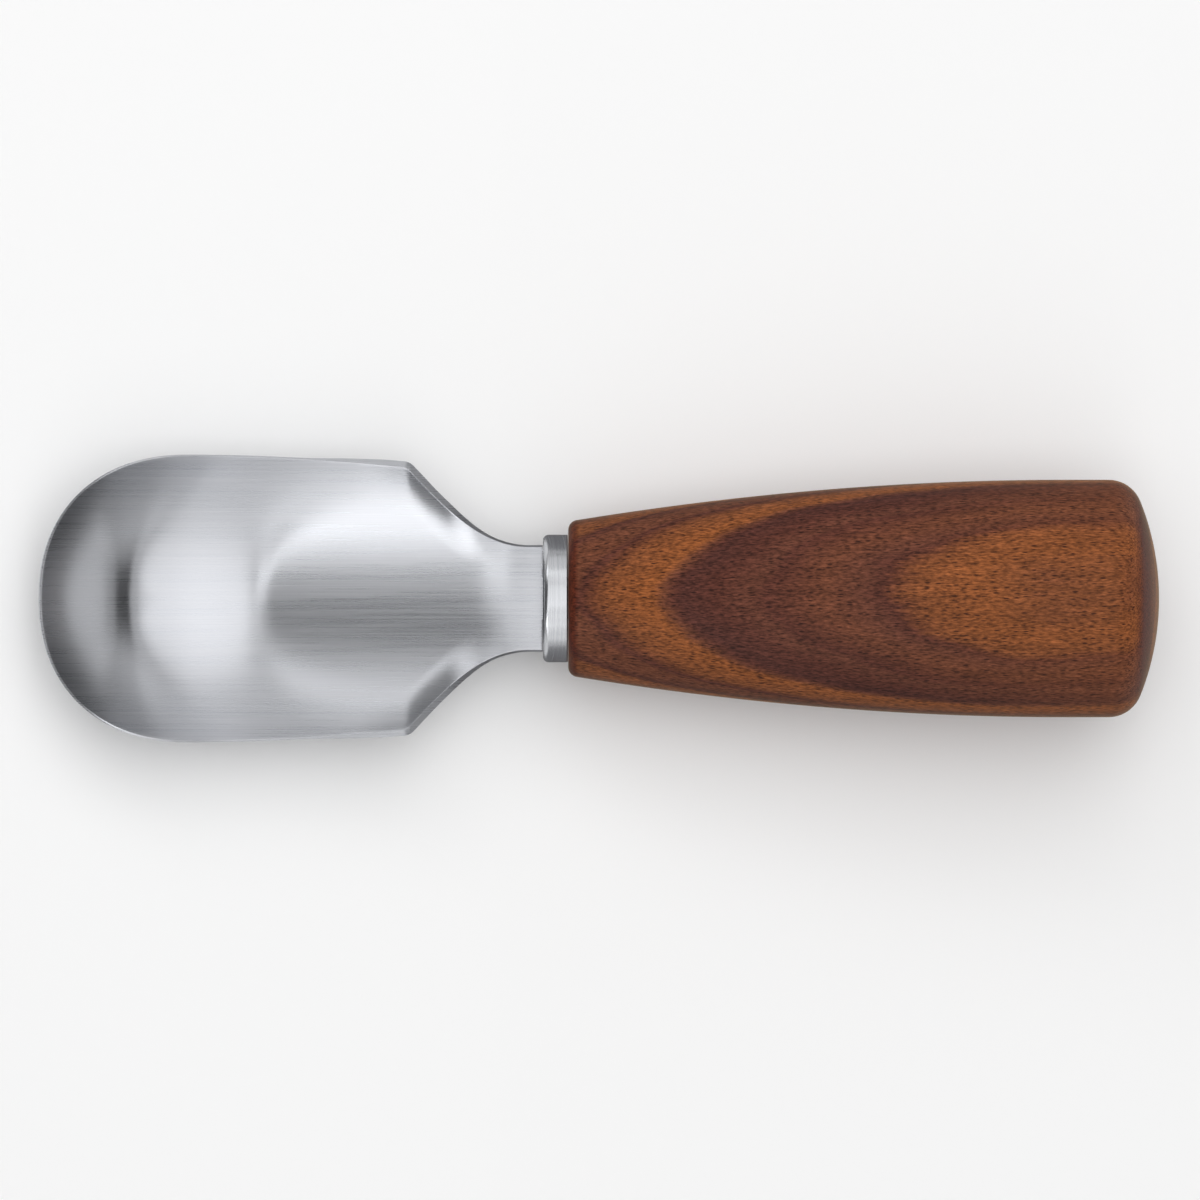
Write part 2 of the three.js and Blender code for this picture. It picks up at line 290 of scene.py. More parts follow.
def quadratic_points(start, control, end, steps):
    """Points of a curve with one control point, raised to the form with two."""
    first, middle, last = Vector(start), Vector(control), Vector(end)
    near = first.lerp(middle, 2 / 3)
    far = last.lerp(middle, 2 / 3)
    return interpolate_bezier(first, near, far, last, steps + 1)


def cubic_points(start, near, far, end, steps):
    return interpolate_bezier(Vector(start), Vector(near), Vector(far), Vector(end), steps + 1)


def turn_profile(stations, facets):
    """Turned piece about the X axis: a ring drawn out from station to station, closed at both ends."""
    deselect_all()
    along, radius = stations[0]
    reached = max(radius, TINY)
    bpy.ops.mesh.primitive_circle_add(
        vertices=facets, radius=reached, location=(0, 0, 0), rotation=(0, math.pi / 2, 0)
    )
    piece = bpy.context.object
    bpy.ops.object.transform_apply(location=False, rotation=True, scale=False)
    bpy.ops.object.mode_set(mode="EDIT")
    bpy.ops.mesh.select_all(action="SELECT")
    bpy.ops.transform.translate(value=(along, 0, 0))
    for next_along, next_radius in stations[1:]:
        wanted = max(next_radius, TINY)
        bpy.ops.mesh.extrude_edges_move(TRANSFORM_OT_translate={"value": (next_along - along, 0, 0)})
        grow = wanted / reached
        bpy.ops.transform.resize(value=(1, grow, grow), center_override=(next_along, 0, 0))
        along = next_along
        reached = wanted
    bpy.ops.mesh.merge(type="CENTER")
    bpy.ops.object.mode_set(mode="OBJECT")
    for vertex in piece.data.vertices:
        vertex.select = vertex.index < facets
    bpy.ops.object.mode_set(mode="EDIT")
    bpy.ops.mesh.merge(type="CENTER")
    bpy.ops.mesh.select_all(action="SELECT")
    bpy.ops.mesh.normals_make_consistent(inside=False)
    bpy.ops.object.mode_set(mode="OBJECT")
    return piece


# Map along the blade and across it
BRUSH_MAP = "along_and_across"


def plan_uv(piece):
    """Flat map seen from above, which gives the brushing its direction."""
    layer = piece.data.uv_layers.new(name=BRUSH_MAP)
    for loop in piece.data.loops:
        spot = piece.data.vertices[loop.vertex_index].co
        layer.data[loop.index].uv = (spot.x / CAD_SPAN.x + 0.5, spot.y / CAD_SPAN.y + 0.5)


# Blade shape

# A bend's length over the softness of its curve
BEND_OVER_SOFTNESS = 5.5
# Times the softness past which a bend is straight to the last digit
STRAIGHT_FROM = 40


def past_bend(distance, bend):
    """Distance gained past the middle of a bend, easing in over the bend's length."""
    softness = bend / BEND_OVER_SOFTNESS
    ratio = distance / softness
    if ratio > STRAIGHT_FROM:
        return distance
    return softness * math.log1p(math.exp(ratio))


def smooth_step(value, low, high):
    share = min(max((value - low) / (high - low), 0), 1)
    return share * share * (3 - 2 * share)


def inner_height(blade, x, y):
    """Height of the blade's inner face: neck, heel and floor bends, trough sides and climbing nose."""
    fall = blade.neck_fall * past_bend(blade.neck_fall_at - x, blade.neck_bend)
    heel_from = blade.heel_at + y ** 2 / (2 * blade.heel_sweep)
    heel_bend = blade.heel_bend * (1 + (y / blade.heel_spread) ** 2)
    heel = blade.heel_turn * past_bend(heel_from - x, heel_bend)
    floor = blade.floor_turn * past_bend(blade.floor_at - x, blade.floor_bend)
    swept = x - y ** 2 / (2 * blade.nose_sweep)
    nose_bend = blade.nose_bend * (1 + (y / blade.nose_spread) ** 2)
    nose = blade.nose_turn * past_bend(blade.nose_at - swept, nose_bend)
    nose += blade.tip_turn * past_bend(blade.tip_at - swept, blade.tip_bend)
    across = y ** 2 / (2 * blade.trough_radius)
    return blade.sheet / 2 - fall + heel + floor + math.hypot(across, nose)


def sheet_share(blade, x, inset):
    """Share of the sheet's thickness that the ground band leaves."""
    ground = min(max(1 - inset / blade.grind_width, 0), 1)
    reach = 1 - smooth_step(x, blade.grind_end - blade.grind_fade, blade.grind_end)
    return 1 - (1 - blade.cutting_edge / blade.sheet) * ground * reach


def shoulder_lip(blade, x, inset):
    """Height of the lip that turns up along the sweep from a shoulder to the neck."""
    rise = smooth_step(x, blade.grind_end - blade.lip_width, blade.grind_end + blade.lip_width)
    fade = smooth_step(x, blade.bowl_length + blade.lip_width, blade.length - blade.lip_width)
    near = max(1 - inset / blade.lip_width, 0)
    return blade.lip_height * rise * (1 - fade) * near ** 2


def blade_edge(blade):
    """Half outline behind the nose: drawn-in side, shoulder corner, sweep, straight neck."""
    half = blade.bowl_width / 2
    shoulder = blade.shoulder_width / 2
    neck = blade.neck_width / 2
    neck_from = blade.length - blade.neck_straight
    run = math.cos(blade.shoulder_angle)
    drop = math.sin(blade.shoulder_angle)
    side_end = (blade.bowl_length - blade.shoulder_round, shoulder)
    corner_end = (blade.bowl_length + blade.shoulder_round * run, shoulder - blade.shoulder_round * drop)
    sweep_near = (corner_end[0] + blade.shoulder_reach * run, corner_end[1] - blade.shoulder_reach * drop)
    sweep_far = (neck_from - blade.neck_reach, neck)
    side_start = (blade.nose_length, half)
    side_control = ((blade.nose_length + blade.bowl_length) / 2, half)
    side = quadratic_points(side_start, side_control, side_end, blade.edge_rows)
    corner = quadratic_points(side_end, (blade.bowl_length, shoulder), corner_end, blade.corner_rows)
    sweep = cubic_points(corner_end, sweep_near, sweep_far, (neck_from, neck), blade.edge_rows)
    neck_rows = ((neck_from + blade.length) / 2, blade.length - blade.edge_round, blade.length)
    straight = [(x, neck) for x in neck_rows]
    return [*side, *corner[1:], *sweep[1:], *straight]


def nose_spot(blade, ahead, aside):
    """Spot of the rounded nose: a square grid spread over half a disc, filled out to the nose's curve."""
    forward = ahead * math.sqrt(1 - aside ** 2 / 2)
    across = aside * math.sqrt(1 - ahead ** 2 / 2)
    reach = math.hypot(forward, across)
    power = abs(forward) ** blade.nose_fullness + abs(across) ** blade.nose_fullness
    fill = reach / power ** (1 / blade.nose_fullness) if reach > 0 else 1
    x = blade.nose_length * (1 - forward * fill)
    y = blade.bowl_width / 2 * across * fill
    return x, y, (1 - reach) * blade.nose_length


def blade_spot(blade, edge, row, aside):
    """Place on the sheet and distance from its rim, for a grid row and a share across."""
    if row < blade.nose_rows:
        return nose_spot(blade, 1 - row / blade.nose_rows, aside)
    x, half = edge[row - blade.nose_rows]
    return x, half * aside, (1 - abs(aside)) * half


# Nodes

RANGE = "ShaderNodeMapRange"
MATH = "ShaderNodeMath"
VECTOR_MATH = "ShaderNodeVectorMath"
MAPPING = "ShaderNodeMapping"
PLACE = "ShaderNodeTexCoord"

# Sockets of a mix of colours: share, colour below, colour above, result
MIX = "ShaderNodeMix"
SHARE, BELOW, ABOVE, MIXED = 0, 6, 7, 2


def add_node(tree, kind, sockets=(), **settings):
    """Adds a node with its settings, and gives its sockets values or links.

    Sockets come in their order, or by name or number. A node stands for its first output.
    """
    node = tree.nodes.new(kind)
    for name, value in settings.items():
        setattr(node, name, value)
    keyed = sockets if isinstance(sockets, dict) else dict(enumerate(sockets))
    for key, value in keyed.items():
        if isinstance(value, bpy.types.Node):
            value = value.outputs[0]
        if isinstance(value, bpy.types.NodeSocket):
            tree.links.new(value, node.inputs[key])
        else:
            node.inputs[key].default_value = value
    return node


def start_material(name):
    """Empty material, with its tree of nodes."""
    material = bpy.data.materials.new(name)
    material.use_nodes = True
    material.node_tree.nodes.clear()
    return material, material.node_tree


def end_material(tree, sockets):
    """Ends a material in its surface."""
    surface = add_node(tree, "ShaderNodeBsdfPrincipled", sockets)
    add_node(tree, "ShaderNodeOutputMaterial", {"Surface": surface})


def grain(tree, spot, lengths, detail, roughness=0.5):
    """Grain whose features have the given lengths along each axis, in millimetres."""
    spread = [1 / (length * MM) for length in lengths]
    placed = add_node(tree, MAPPING, {"Vector": spot, "Scale": spread})
    sockets = {"Vector": placed, "Scale": 1, "Detail": detail, "Roughness": roughness}
    return add_node(tree, "ShaderNodeTexNoise", sockets)


# Materials

# Middle part of a grain's values, which its tones are spread over
STEEL_SPAN = (0.3, 0.7)
WOOD_SPAN = (0.25, 0.75)
RESIN_SPAN = (0.3, 0.7)
# Index of refraction of wood oil and of cured resin
OIL_IOR = 1.5
RESIN_IOR = 1.5

# Brushing along the blade, drawn coarser than the real grit so that it shows
BRUSH_STREAK = (28, 0.22, 60)
BRUSH_BAND = (45, 2.4, 60)
BRUSH_DETAIL = 2
STREAK_SHARE = 0.65
BAND_SHARE = 0.35
BRUSHED_ROUGHNESS = (0.25, 0.32)
BRUSHED_BUMP = 0.02
BRUSHED_DEPTH = 0.01 * MM
BRUSHED_STRETCH = 0.93
QUARTER_TURN = 0.25


def brushed_blade_steel(blade):
    """Stainless sheet brushed along the blade: streaks that draw reflections out across the blade."""
    material, tree = start_material("stainless sheet, stamped and brushed lengthwise")
    spot = add_node(tree, PLACE).outputs["Object"]
    streaks = grain(tree, spot, BRUSH_STREAK, BRUSH_DETAIL)
    bands = grain(tree, spot, BRUSH_BAND, BRUSH_DETAIL)
    streak_part = add_node(tree, MATH, (streaks, STREAK_SHARE), operation="MULTIPLY")
    band_part = add_node(tree, MATH, (bands, BAND_SHARE), operation="MULTIPLY")
    brushed = add_node(tree, MATH, (streak_part, band_part), operation="ADD")
    share = add_node(tree, RANGE, (brushed, *STEEL_SPAN, 0, 1))
    tones = {SHARE: share, BELOW: blade.steel_dark, ABOVE: blade.steel_light}
    bump = {"Height": streaks, "Strength": BRUSHED_BUMP, "Distance": BRUSHED_DEPTH}
    surface = {
        "Base Color": add_node(tree, MIX, tones, data_type="RGBA").outputs[MIXED],
        "Roughness": add_node(tree, RANGE, (brushed, *STEEL_SPAN, *BRUSHED_ROUGHNESS)),
        "Normal": add_node(tree, "ShaderNodeBump", bump),
        "Tangent": add_node(tree, "ShaderNodeTangent", direction_type="UV_MAP", uv_map=BRUSH_MAP),
        "Metallic": 1,
        "Anisotropic": BRUSHED_STRETCH,
        "Anisotropic Rotation": QUARTER_TURN,
    }
    end_material(tree, surface)
    return material


# Lines that the lathe leaves round the ferrule, drawn coarser than the real ones so that they show
TURNED_LINE = (0.16, 30, 30)
TURNED_DETAIL = 2
TURNED_FRAY = 0.6
TURNED_ROUGHNESS = (0.22, 0.28)
TURNED_BUMP = 0.1
TURNED_DEPTH = 0.02 * MM


def turned_ferrule_steel(ferrule):
    """Steel collar with fine turning lines round it: a satin face with soft bright bands."""
    material, tree = start_material("stainless collar, fine turned")
    spot = add_node(tree, PLACE).outputs["Object"]
    lines = grain(tree, spot, TURNED_LINE, TURNED_DETAIL, TURNED_FRAY)
    share = add_node(tree, RANGE, (lines, *STEEL_SPAN, 0, 1))
    tones = {SHARE: share, BELOW: ferrule.steel_dark, ABOVE: ferrule.steel_light}
    bump = {"Height": lines, "Strength": TURNED_BUMP, "Distance": TURNED_DEPTH}
    surface = {
        "Base Color": add_node(tree, MIX, tones, data_type="RGBA").outputs[MIXED],
        "Roughness": add_node(tree, RANGE, (lines, *STEEL_SPAN, *TURNED_ROUGHNESS)),
        "Normal": add_node(tree, "ShaderNodeBump", bump),
        "Metallic": 1,
    }
    end_material(tree, surface)
    return material


# Growth layers of the handle's wood: distance from the pith in millimetres, and tone
GROWTH_LAYERS = (
    (8.0, "middle_wood"),
    (10.2, "early_wood"),
    (12.3, "late_wood"),
    (13.4, "middle_wood"),
    (15.2, "early_wood"),
    (16.4, "bright_wood"),
    (16.8, "late_wood"),
    (17.8, "middle_wood"),
    (19.4, "early_wood"),
    (20.4, "early_wood"),
    (20.8, "late_wood"),
    (21.5, "middle_wood"),
    (22.3, "middle_wood"),
    (22.6, "late_wood"),
    (23.3, "early_wood"),
    (24.2, "bright_wood"),
    (24.45, "bright_wood"),
    (24.7, "middle_wood"),
    (24.9, "late_wood"),
    (25.1, "late_line"),
    (25.8, "late_wood"),
    (26.4, "heart_wood"),
    (26.65, "late_wood"),
    (27.4, "middle_wood"),
    (27.9, "heart_wood"),
    (28.1, "late_wood"),
    (28.4, "early_wood"),
    (28.9, "bright_wood"),
    (29.15, "early_wood"),
    (29.35, "middle_wood"),
    (30.0, "heart_wood"),
)
PITH_BELOW_AXIS = 9.6 * MM
PITH_LEAN = math.radians(0.7)
FLARE_FROM = 89.4 * MM
FLARE_RADIUS = 4.6 * MM

# Grain of the wood: lengths along and across the handle in millimetres, and detail
WANDER = (42, 11, 11)
WANDER_DETAIL = 2
WANDER_SWING = 0.7 * MM
STREAK = (26, 1.1, 1.1)
STREAK_DETAIL = 2
STREAK_TONE = (0.84, 1.14)
FIBRE = (9, 0.5, 0.5)
FIBRE_DETAIL = 3
FIBRE_FRAY = 0.65
FIBRE_SWING = 0.2 * MM
FIBRE_TONE = (0.82, 1.18)
FINE = (1.1, 0.27, 0.27)
FINE_DETAIL = 2
FINE_FRAY = 0.6
FINE_TONE = (0.3, 1.72)
FINE_HEIGHT = 0.3

# Pores: length and widths in millimetres, reach of a pore in its cell, and how dark it gets
PORE = (1.6, 0.36, 0.36)
PORE_REACH = (0.2, 0.42)
PORE_FULL_FROM = 0.8
PORE_DARKNESS = 0.88

# Where the tones even out toward the butt, and how far
EVEN_FROM_TO = (55 * MM, 90 * MM)
EVEN_SHARE = 0.4

# Darker red at the ends: painted shade of the front rounding together with oil gathered there, over its reach
# behind the front face, and a darker red band before the butt's end
FRONT_SHADE_AND_OIL = (1.1 * MM, 1.8 * MM)
FRONT_SHADE_AND_OIL_SHARE = 0.7
BUTT_BAND_RISE = (4.6 * MM, 3.2 * MM)
BUTT_BAND_FALL = (2.2 * MM, 1.3 * MM)
BUTT_BAND_SHARE = 0.85

WOOD_ROUGHNESS = (0.52, 0.42)
WOOD_BUMP = 0.25
WOOD_DEPTH = 0.06 * MM
WOOD_SPECULAR = 0.1
WOOD_SHEEN = 0.32
WOOD_SHEEN_ROUGHNESS = 0.22


def handle_wood(handle):
    """Dense dark hardwood, turned and oiled: arches of growth layers, short pores, satin face."""
    material, tree = start_material("walnut-brown hardwood, turned and oiled")
    spot = spot_in_handle(tree, handle)
    fine = grain(tree, spot, FINE, FINE_DETAIL, FINE_FRAY)
    pores = wood_pores(tree, spot)
    raised = add_node(tree, MATH, (fine, FINE_HEIGHT), operation="MULTIPLY")
    height = add_node(tree, MATH, (raised, pores), operation="SUBTRACT")
    surface = {
        "Base Color": wood_colour(tree, spot, fine, pores, handle),
        "Roughness": add_node(tree, RANGE, (fine, *WOOD_SPAN, *WOOD_ROUGHNESS)),
        "Normal": add_node(
            tree, "ShaderNodeBump", {"Height": height, "Strength": WOOD_BUMP, "Distance": WOOD_DEPTH}
        ),
        "IOR": OIL_IOR,
        "Specular IOR Level": WOOD_SPECULAR,
        "Sheen Weight": WOOD_SHEEN,
        "Sheen Roughness": WOOD_SHEEN_ROUGHNESS,
        "Sheen Tint": handle.sheen,
    }
    end_material(tree, surface)
    return material


def spot_in_handle(tree, handle):
    """Place in the handle: along its axis from its front face, and across it."""
    to_handle = (rest_matrix() @ Matrix.Translation((handle.at, 0, 0))).inverted()
    sockets = {
        "Vector": add_node(tree, PLACE).outputs["Object"],
        "Location": to_handle.to_translation(),
        "Rotation": to_handle.to_euler(),
    }
    return add_node(tree, MAPPING, sockets)


def wood_colour(tree, spot, fine, pores, handle):
    """Growth layers, evened out near the butt, darker red at the ends (painted shade of the front rounding
    with oil there, and a band before the butt), streaked and pored.
    """
    along = add_node(tree, "ShaderNodeSeparateXYZ", (spot,)).outputs["X"]
    fibre = grain(tree, spot, FIBRE, FIBRE_DETAIL, FIBRE_FRAY)
    streak = grain(tree, spot, STREAK, STREAK_DETAIL)
    tone = 1
    for pattern, span in ((fine, FINE_TONE), (fibre, FIBRE_TONE), (streak, STREAK_TONE)):
        part = add_node(tree, RANGE, (pattern, *WOOD_SPAN, *span))
        tone = add_node(tree, MATH, (tone, part), operation="MULTIPLY")
    even = add_node(tree, RANGE, (along, *EVEN_FROM_TO, 0, EVEN_SHARE))
    shade_and_oil = shade_and_oil_at_ends(tree, along, handle)
    pored = add_node(tree, RANGE, (pores, 0, 1, 0, PORE_DARKNESS))
    coats = (
        ("MIX", even, handle.butt_wood),
        # painted shade of the front rounding with oil, and a darker red band before the butt
        ("MIX", shade_and_oil, handle.shade_and_oil_red),
        ("MULTIPLY", 1, tone),
        ("MIX", pored, handle.pore),
    )
    colour = growth_layers(tree, spot, along, fibre, handle)
    for mode, share, coat in coats:
        sockets = {SHARE: share, BELOW: colour, ABOVE: coat}
        colour = add_node(tree, MIX, sockets, data_type="RGBA", blend_type=mode).outputs[MIXED]
    return colour


def growth_layers(tree, spot, along, fibre, handle):
    """Tones by distance from the pith, in layers that wander a little and fray along the fibres."""
    wander = grain(tree, spot, WANDER, WANDER_DETAIL)
    swing = add_node(tree, RANGE, (wander, 0, 1, -WANDER_SWING, WANDER_SWING))
    fray = add_node(tree, RANGE, (fibre, 0, 1, -FIBRE_SWING, FIBRE_SWING))
    bent = add_node(tree, MATH, (distance_from_pith(tree, spot, along), swing), operation="ADD")
    frayed = add_node(tree, MATH, (bent, fray), operation="ADD")
    first = GROWTH_LAYERS[0][0]
    last = GROWTH_LAYERS[-1][0]
    share = add_node(tree, RANGE, (frayed, first * MM, last * MM, 0, 1))
    layers = add_node(tree, "ShaderNodeValToRGB", (share,))
    stops = layers.color_ramp.elements
    for distance, _ in GROWTH_LAYERS[1:-1]:
        stops.new((distance - first) / (last - first))
    for stop, (_, tone) in zip(stops, GROWTH_LAYERS):
        stop.color = getattr(handle, tone)
    return layers


def distance_from_pith(tree, spot, along):
    """Distance from the pith, which leans below the axis; the layers flare out near the butt."""
    lean = {"Vector": spot, "Location": (0, 0, PITH_BELOW_AXIS), "Rotation": (0, 0, PITH_LEAN)}
    leaning = add_node(tree, MAPPING, lean)
    across = add_node(tree, VECTOR_MATH, (leaning, (0, 1, 1)), operation="MULTIPLY")
    radius = add_node(tree, VECTOR_MATH, (across,), operation="LENGTH").outputs["Value"]
    ahead = add_node(tree, MATH, (along, FLARE_FROM), operation="SUBTRACT")
    past = add_node(tree, MATH, (ahead, 0), operation="MAXIMUM")
    squared = add_node(tree, MATH, (past, past), operation="MULTIPLY")
    flare = add_node(tree, MATH, (squared, 2 * FLARE_RADIUS), operation="DIVIDE")
    return add_node(tree, MATH, (radius, flare), operation="ADD")


def shade_and_oil_at_ends(tree, along, handle):
    """Share of the darker red round the front end, painted shade of the rounding together with oil gathered
    there, and in a band before the butt's edge.
    """
    rise_from, rise_to = [handle.length - reach for reach in BUTT_BAND_RISE]
    fall_from, fall_to = [handle.length - reach for reach in BUTT_BAND_FALL]
    front = add_node(tree, RANGE, (along, *FRONT_SHADE_AND_OIL, FRONT_SHADE_AND_OIL_SHARE, 0))
    rise = add_node(tree, RANGE, (along, rise_from, rise_to, 0, BUTT_BAND_SHARE))
    fall = add_node(tree, RANGE, (along, fall_from, fall_to, 1, 0))
    butt = add_node(tree, MATH, (rise, fall), operation="MULTIPLY")
    return add_node(tree, MATH, (front, butt), operation="ADD")


def wood_pores(tree, spot):
    """Short dark vessels that run with the grain, open at the surface, some deeper than others."""
    spread = [1 / (length * MM) for length in PORE]
    stretched = add_node(tree, MAPPING, {"Vector": spot, "Scale": spread})
    cells = add_node(tree, "ShaderNodeTexVoronoi", {"Vector": stretched, "Scale": 1, "Randomness": 1})
    chance = add_node(tree, "ShaderNodeSeparateColor", (cells.outputs["Color"],))
    inside = add_node(tree, RANGE, (cells.outputs["Distance"], *PORE_REACH, 1, 0))
    depth = add_node(tree, RANGE, (chance, 0, PORE_FULL_FROM, 0, 1))
    return add_node(tree, MATH, (inside, depth), operation="MULTIPLY")


# Clouds of fine bubbles in the resin, in millimetres
RESIN_CLOUD = (6, 3, 3)
RESIN_DETAIL = 3
RESIN_ROUGHNESS = (0.25, 0.4)


def cured_adhesive(adhesive):
    """Honey-coloured cured resin, a little cloudy."""
    material, tree = start_material("epoxy adhesive, cured in the bore")
    spot = add_node(tree, PLACE).outputs["Object"]
    cloud = grain(tree, spot, RESIN_CLOUD, RESIN_DETAIL)
    tones = {SHARE: cloud, BELOW: adhesive.resin, ABOVE: adhesive.cloudy}
    surface = {
        "Base Color": add_node(tree, MIX, tones, data_type="RGBA").outputs[MIXED],
        "Roughness": add_node(tree, RANGE, (cloud, *RESIN_SPAN, *RESIN_ROUGHNESS)),
        "IOR": RESIN_IOR,
    }
    end_material(tree, surface)
    return material


# Pieces

class SCOOP_OT_blade(bpy.types.Operator):
    """Stamped steel blade: a grid formed to the dished shape, its tang drawn out and its edges broken"""

    bl_idname = "scoop.blade"
    bl_label = "Blade"

    def execute(self, context):
        blade = context.scene.scoop_blade
        sheet = self.form_sheet(context, blade)
        self.draw_tang(sheet, blade)
        apply_modifier(
            sheet,
            "SOLIDIFY",
            thickness=blade.sheet,
            offset=-1,
            vertex_group="gauge",
            use_quality_normals=True,
        )
        apply_modifier(
            sheet,
            "BEVEL",
            width=blade.edge_round,
            segments=blade.edge_segments,
            limit_method="ANGLE",
            angle_limit=blade.sharp_from,
            use_clamp_overlap=True,
        )
        bpy.ops.object.shade_smooth_by_angle(angle=blade.sharp_from)
        apply_modifier(sheet, "WEIGHTED_NORMAL", keep_sharp=True)
        lay_down(sheet)
        plan_uv(sheet)
        finish_piece(sheet, "blade", "scoop_blade", brushed_blade_steel(blade))
        return {"FINISHED"}

    def form_sheet(self, context, blade):
        """Forms a square grid to the dished sheet, and keeps the thickness that the grinding leaves."""
        edge = blade_edge(blade)
        rows = blade.nose_rows + len(edge) - 1
        deselect_all()
        bpy.ops.mesh.primitive_grid_add(x_subdivisions=rows, y_subdivisions=blade.columns, size=2)
        sheet = context.object
        gauge = sheet.vertex_groups.new(name="gauge")
        for vertex in sheet.data.vertices:
            row = round((vertex.co.x + 1) / 2 * rows)
            x, y, inset = blade_spot(blade, edge, row, vertex.co.y)
            vertex.co = (x, y, inner_height(blade, x, y) + shoulder_lip(blade, x, inset))
            gauge.add([vertex.index], sheet_share(blade, x, inset), "REPLACE")
        return sheet

    def draw_tang(self, sheet, blade):
        """Draws the middle of the neck's end edge out into the tang."""
        bpy.ops.object.mode_set(mode="EDIT")
        bpy.ops.mesh.select_mode(type="VERT")
        bpy.ops.mesh.select_all(action="DESELECT")
        bpy.ops.object.mode_set(mode="OBJECT")
        for vertex in sheet.data.vertices:
            at_end = vertex.co.x > blade.length - TINY
            vertex.select = at_end and abs(vertex.co.y) < blade.tang_width / 2 + TINY
        bpy.ops.object.mode_set(mode="EDIT")
        bpy.ops.mesh.extrude_edges_move(TRANSFORM_OT_translate={"value": (blade.tang_length, 0, 0)})
        bpy.ops.object.mode_set(mode="OBJECT")


# Share of the radius at which the ferrule's flat faces get a ring of edges
FACE_RING = 0.7


class SCOOP_OT_ferrule(bpy.types.Operator):
    """Turned steel collar with a rounded front edge and a slot for the tang"""

    bl_idname = "scoop.ferrule"
    bl_label = "Ferrule"

    def execute(self, context):
        ferrule = context.scene.scoop_ferrule
        collar = turn_profile(self.stations(ferrule), ferrule.facets)
        self.cut_slot(collar, ferrule, context.scene.scoop_blade)
        bpy.ops.object.shade_smooth_by_angle(angle=ferrule.sharp_from)
        apply_modifier(collar, "WEIGHTED_NORMAL", keep_sharp=True)
        lay_down(collar)
        finish_piece(collar, "collar", "ferrule", turned_ferrule_steel(ferrule))
        return {"FINISHED"}

    def stations(self, ferrule):
        """Front face, front rounding, back rounding and back face."""
        radius = ferrule.diameter / 2
        ring = radius * FACE_RING
        back = ferrule.at + ferrule.length
        front_centre = (ferrule.at + ferrule.front_round, radius - ferrule.front_round)
        back_centre = (back - ferrule.back_round, radius - ferrule.back_round)
        front_arc = arc_points(front_centre, ferrule.front_round, math.pi, math.pi / 2, ferrule.front_steps)
        back_arc = arc_points(back_centre, ferrule.back_round, math.pi / 2, 0, ferrule.back_steps)
        return [(ferrule.at, 0), (ferrule.at, ring), *front_arc, *back_arc, (back, ring), (back, 0)]

    def cut_slot(self, collar, ferrule, blade):
        """Cuts the slot that the tang passes through."""
        deselect_all()
        bpy.ops.mesh.primitive_cube_add(size=1, location=(ferrule.at + ferrule.length / 2, 0, 0))
        cutter = bpy.context.object
        gap = 2 * ferrule.slot_gap
        cutter.scale = (2 * ferrule.length, blade.tang_width + gap, blade.sheet + gap)
        deselect_all()
        collar.select_set(True)
        bpy.context.view_layer.objects.active = collar
        apply_modifier(collar, "BOOLEAN", operation="DIFFERENCE", object=cutter, solver="EXACT")
        bpy.data.objects.remove(cutter)


class SCOOP_OT_handle(bpy.types.Operator):
    """Turned wooden handle: rounded front, taper, thick grip, domed butt and blind bore"""

    bl_idname = "scoop.handle"
    bl_label = "Handle"

    def execute(self, context):
        handle = context.scene.scoop_handle
        stations = self.bore_stations(handle) + self.outside_stations(handle)
        placed = [(handle.at + along, radius) for along, radius in stations]
        grip = turn_profile(placed, handle.facets)
        bpy.ops.object.shade_smooth_by_angle(angle=handle.sharp_from)
        lay_down(grip)
        finish_piece(grip, "grip", "handle", handle_wood(handle))
        return {"FINISHED"}

    def bore_stations(self, handle):
        """Drilled point, bore wall and front face."""
        bore = handle.bore_diameter / 2
        face = handle.front_diameter / 2 - handle.front_round
        return [
            (handle.bore_depth + handle.bore_point, 0),
            (handle.bore_depth, bore),
            (handle.bore_depth / 2, bore),
            (0, bore),
            (0, (bore + face) / 2),
        ]

    def outside_stations(self, handle):
        """Front rounding, taper, swell, butt rounding and dome."""
        front = handle.front_diameter / 2
        grip = handle.grip_diameter / 2
        lean = math.atan2(grip - front, handle.taper_reach)
        rounding = handle.front_round
        side = front - rounding * (1 / math.cos(lean) - math.tan(lean))
        front_end = math.pi / 2 + lean
        front_arc = arc_points((rounding, side), rounding, math.pi, front_end, handle.front_steps)
        aim = (handle.taper_reach, grip)
        swell = quadratic_points(front_arc[-1], aim, (handle.grip_from, grip), handle.swell_steps)
        reach = handle.butt_dome - handle.butt_round
        dome_centre = handle.length - handle.butt_dome
        lift = math.asin((grip - handle.butt_round) / reach)
        butt_centre = (dome_centre + reach * math.cos(lift), grip - handle.butt_round)
        butt = arc_points(butt_centre, handle.butt_round, math.pi / 2, lift, handle.butt_steps)
        dome = arc_points((dome_centre, 0), handle.butt_dome, lift, 0, handle.dome_steps)
        return [*front_arc, *swell[1:], *butt, *dome[1:]]


class SCOOP_OT_adhesive(bpy.types.Operator):
    """Gives the adhesive in the bore its resin"""

    bl_idname = "scoop.adhesive"
    bl_label = "Adhesive"

    def execute(self, context):
        resin = cured_adhesive(context.scene.scoop_adhesive)
        for slot in frame["nodes"]["tang_adhesive"].material_slots:
            slot.material = resin
        return {"FINISHED"}


# Studio, in metres

